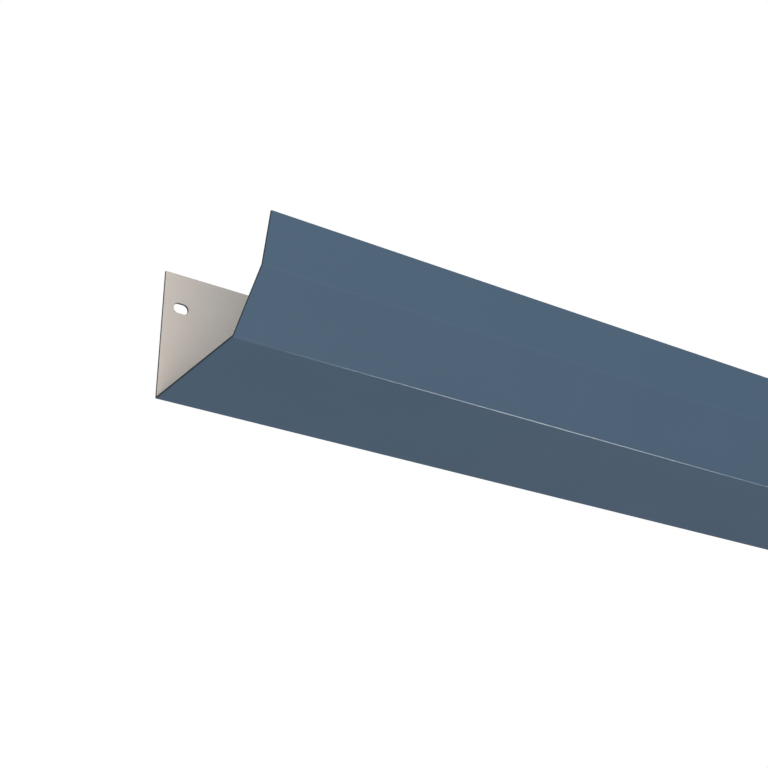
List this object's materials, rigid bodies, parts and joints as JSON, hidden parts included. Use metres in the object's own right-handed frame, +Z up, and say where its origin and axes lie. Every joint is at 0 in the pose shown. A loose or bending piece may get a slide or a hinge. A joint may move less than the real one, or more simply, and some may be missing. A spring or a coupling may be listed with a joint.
{
  "type": "gutter section",
  "caption": "Folded sheet-metal gutter with a slotted wall plate, a flat bottom and a two-facet front that leans out, open at both ends.",
  "frame": {"origin": "midway along the stock and midway between the wall face and the front lip, on the underside", "axes": "+X along the gutter, +Y out of the back plate towards the wall, +Z up"},
  "size_m": [2, 0.1388, 0.088],
  "materials": {
    "coated_sheet": "slate blue coil coating outside and beige grey backing coat inside, satin"
  },
  "bodies": {
    "root": {"gutter_section": "coated_sheet"}
  },
  "joints": []
}
